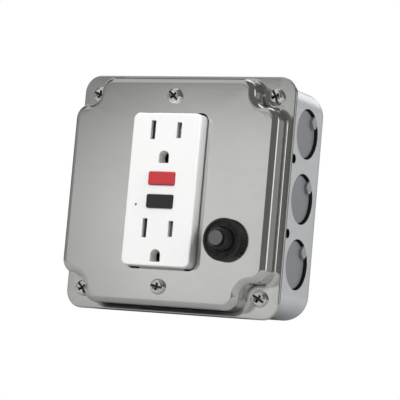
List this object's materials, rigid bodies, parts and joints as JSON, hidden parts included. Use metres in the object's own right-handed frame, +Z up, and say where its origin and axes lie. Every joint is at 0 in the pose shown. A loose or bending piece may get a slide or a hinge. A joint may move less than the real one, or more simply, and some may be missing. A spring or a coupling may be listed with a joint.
{
  "type": "boxed gfci outlet",
  "caption": "Square steel outlet box with raised cover, white GFCI duplex receptacle with red and black buttons, and a push-to-reset breaker.",
  "frame": {"origin": "centre of the box's back face, which sits on the wall", "axes": "+X right as seen from the front, +Z up, the receptacle faces -Y"},
  "size_m": [0.105, 0.061, 0.105],
  "materials": {
    "galvanised_box": "galvanised sheet",
    "cover_steel": "satin plated sheet",
    "bright_screw": "bright zinc",
    "earth_green": "green dyed zinc",
    "strap_steel": "plated",
    "spring_steel": "drawn wire",
    "white_plastic": "satin moulded",
    "reset_red": "satin moulded",
    "test_black": "satin moulded",
    "shutter_grey": "moulded",
    "housing_grey": "moulded",
    "brass": "stamped strip",
    "silver_screw": "nickel plated",
    "board_green": "solder mask",
    "ring_black": "potted",
    "copper_winding": "enamelled wire",
    "clear_guide": "clear moulded",
    "lead_black": "insulation",
    "lead_green": "insulation",
    "breaker_black": "moulded"
  },
  "bodies": {
    "root": {"back_knockouts": "galvanised_box", "box_earth_screw": "earth_green", "box_shell": "galvanised_box", "breaker_back_nut": "strap_steel", "breaker_base": "breaker_black", "breaker_bimetal": "brass", "breaker_bushing": "breaker_black", "breaker_case": "breaker_black", "breaker_nut": "breaker_black", "breaker_spring": "spring_steel", "breaker_terminals": "brass", "circuit_board": "board_green", "cover_screw_ears": "galvanised_box", "cover_screws": "bright_screw", "device_nuts": "bright_screw", "device_screws": "bright_screw", "earth_contacts": "brass", "earth_lead": "lead_green", "earth_lug": "brass", "fixed_contacts": "brass", "gfci_face": "white_plastic", "hot_contacts": "brass", "hot_terminal_screws": "brass", "housing_screws": "strap_steel", "indicator_lamp": "clear_guide", "light_guide": "clear_guide", "line_lead": "lead_black", "lower_shutter_spring": "spring_steel", "mounting_strap": "strap_steel", "neutral_contacts": "brass", "neutral_terminal_screws": "silver_screw", "plunger_spring": "spring_steel", "pressure_plates": "strap_steel", "raised_cover": "cover_steel", "rear_housing": "housing_grey", "reset_spring": "spring_steel", "sensing_transformer": "ring_black", "separator": "housing_grey", "shutter_carrier": "shutter_grey", "side_knockouts": "galvanised_box", "solenoid_bobbin": "housing_grey", "solenoid_winding": "copper_winding", "spade_connectors": "lead_black", "strap_earth_screw": "earth_green", "test_contact": "brass", "test_spring": "spring_steel", "upper_shutter_spring": "spring_steel"},
    "reset": {"reset_button": "reset_red", "reset_pin": "strap_steel"},
    "test": {"test_button": "test_black"},
    "upper_shutter_slider": {"upper_shutter": "shutter_grey"},
    "lower_shutter_slider": {"lower_shutter": "shutter_grey"},
    "carriage": {"contact_carriage": "housing_grey", "moving_contacts": "brass"},
    "latch": {"latch_plate": "strap_steel"},
    "trip_plunger": {"solenoid_plunger": "strap_steel"},
    "breaker_plunger": {"breaker_button": "breaker_black"}
  },
  "joints": [
    {"name": "reset_push", "type": "slide", "parent": "root", "child": "reset", "axis": [0, 1, 0], "range_m": [0, 0.0025], "stiffness_N_per_m": 800, "springref_m": -0.001, "deforming": ["reset_spring"]},
    {"name": "test_push", "type": "slide", "parent": "root", "child": "test", "axis": [0, 1, 0], "range_m": [0, 0.0018], "stiffness_N_per_m": 800, "springref_m": -0.001, "deforming": ["test_spring"]},
    {"name": "upper_shutter_slide", "type": "slide", "parent": "root", "child": "upper_shutter_slider", "axis": [1, 0, 0], "range_m": [0, 0.003], "stiffness_N_per_m": 150, "springref_m": -0.001, "deforming": ["upper_shutter_spring"]},
    {"name": "lower_shutter_slide", "type": "slide", "parent": "root", "child": "lower_shutter_slider", "axis": [1, 0, 0], "range_m": [0, 0.003], "stiffness_N_per_m": 150, "springref_m": -0.001, "deforming": ["lower_shutter_spring"]},
    {"name": "contact_drop", "type": "slide", "parent": "root", "child": "carriage", "axis": [0, 1, 0], "range_m": [0, 0.002]},
    {"name": "latch_release", "type": "slide", "parent": "carriage", "child": "latch", "axis": [0, 0, -1], "range_m": [0, 0.002]},
    {"name": "solenoid_stroke", "type": "slide", "parent": "root", "child": "trip_plunger", "axis": [0, 0, -1], "range_m": [0, 0.002], "stiffness_N_per_m": 300, "springref_m": -0.001, "deforming": ["plunger_spring"]},
    {"name": "breaker_reset", "type": "slide", "parent": "root", "child": "breaker_plunger", "axis": [0, -1, 0], "range_m": [-0.0008, 0.0036], "stiffness_N_per_m": 600, "deforming": ["breaker_spring"]}
  ],
  "couplings": [
    {"joint": "contact_drop", "follows": "reset_push", "ratio": 0.8},
    {"joint": "latch_release", "follows": "solenoid_stroke", "ratio": 1}
  ]
}
